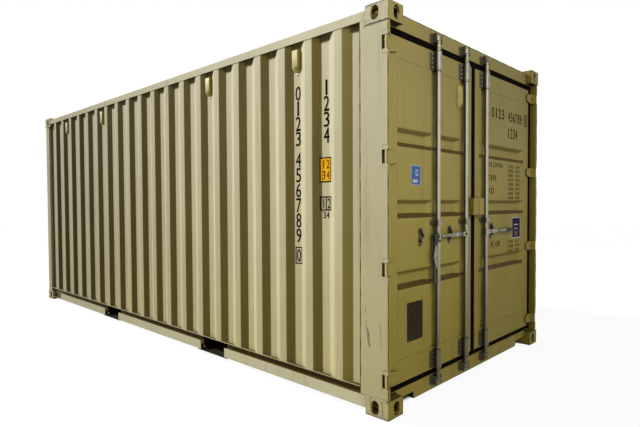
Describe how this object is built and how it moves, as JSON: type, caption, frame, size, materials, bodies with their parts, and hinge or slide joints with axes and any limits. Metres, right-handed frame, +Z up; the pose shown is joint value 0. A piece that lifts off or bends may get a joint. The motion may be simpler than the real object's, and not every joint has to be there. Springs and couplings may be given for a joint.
{
  "type": "freight container",
  "caption": "Corrugated steel freight container with corner castings, fork pockets, hinged rear doors, turning lock rods and swinging handles.",
  "frame": {"origin": "on the ground, under the middle of the footprint, at the underside of the bottom castings", "axes": "+X along the length towards the doors, +Z up, +Y to the side of the leaf with one lock rod"},
  "size_m": [6.058, 2.438, 2.591],
  "materials": {
    "tan_paint": "satin",
    "casting_paint": "matte",
    "seal_rubber": "matte",
    "hardware_steel": "matte",
    "rod_paint": "satin",
    "floor_plywood": "matte",
    "vent_plastic": "matte"
  },
  "bodies": {
    "container": {"bottom_castings": "casting_paint", "top_castings": "casting_paint", "rear_posts": "tan_paint", "hinge_lugs": "hardware_steel", "front_posts": "tan_paint", "top_side_rails": "tan_paint", "bottom_side_rails": "tan_paint", "left_wall": "tan_paint", "right_wall": "tan_paint", "front_wall": "tan_paint", "rear_header": "tan_paint", "rear_sill": "tan_paint", "front_header": "tan_paint", "front_sill": "tan_paint", "roof": "tan_paint", "roof_corner_plates": "tan_paint", "cross_members": "tan_paint", "fork_pockets": "tan_paint", "pocket_tops": "tan_paint", "pocket_straps": "tan_paint", "floor_boards": "floor_plywood", "side_vents": "vent_plastic", "cam_keepers": "hardware_steel"},
    "left_leaf": {"left_leaf_frame": "tan_paint", "left_leaf_panel": "tan_paint", "left_seal": "seal_rubber", "left_hinges": "tan_paint", "left_rod_brackets": "hardware_steel", "left_handle_retainers": "hardware_steel", "door_vent": "vent_plastic", "left_lock_box": "tan_paint"},
    "right_leaf": {"right_leaf_frame": "tan_paint", "right_leaf_panel": "tan_paint", "right_seal": "seal_rubber", "right_hinges": "tan_paint", "right_rod_brackets": "hardware_steel", "right_handle_retainer": "hardware_steel", "right_lock_box": "tan_paint"},
    "outer_left_rod": {"outer_left_rod": "rod_paint"},
    "inner_left_rod": {"inner_left_rod": "rod_paint"},
    "right_rod": {"right_rod": "rod_paint"},
    "outer_left_handle": {"outer_left_handle": "rod_paint"},
    "inner_left_handle": {"inner_left_handle": "rod_paint"},
    "right_handle": {"right_handle": "rod_paint"}
  },
  "joints": [
    {"name": "left_door", "type": "hinge", "parent": "container", "child": "left_leaf", "pos_m": [3.009, -1.2005, 1.295], "axis": [0, 0, -1], "range_deg": [0, 262]},
    {"name": "right_door", "type": "hinge", "parent": "container", "child": "right_leaf", "pos_m": [3.009, 1.2005, 1.295], "axis": [0, 0, 1], "range_deg": [0, 262]},
    {"name": "outer_left_rod_turn", "type": "hinge", "parent": "left_leaf", "child": "outer_left_rod", "pos_m": [3.004, -0.586, 1.295], "axis": [0, 0, -1], "range_deg": [-90, 0]},
    {"name": "inner_left_rod_turn", "type": "hinge", "parent": "left_leaf", "child": "inner_left_rod", "pos_m": [3.004, -0.172, 1.295], "axis": [0, 0, -1], "range_deg": [-90, 0]},
    {"name": "right_rod_turn", "type": "hinge", "parent": "right_leaf", "child": "right_rod", "pos_m": [3.004, 0.172, 1.295], "axis": [0, 0, 1], "range_deg": [-90, 0]},
    {"name": "outer_left_handle_lift", "type": "hinge", "parent": "outer_left_rod", "child": "outer_left_handle", "pos_m": [3.004, -0.632, 1.117], "axis": [-1, 0, 0], "range_deg": [0, 105]},
    {"name": "inner_left_handle_lift", "type": "hinge", "parent": "inner_left_rod", "child": "inner_left_handle", "pos_m": [3.004, -0.218, 1.117], "axis": [-1, 0, 0], "range_deg": [-90, 15]},
    {"name": "right_handle_lift", "type": "hinge", "parent": "right_rod", "child": "right_handle", "pos_m": [3.004, 0.218, 1.117], "axis": [1, 0, 0], "range_deg": [-90, 15]}
  ]
}
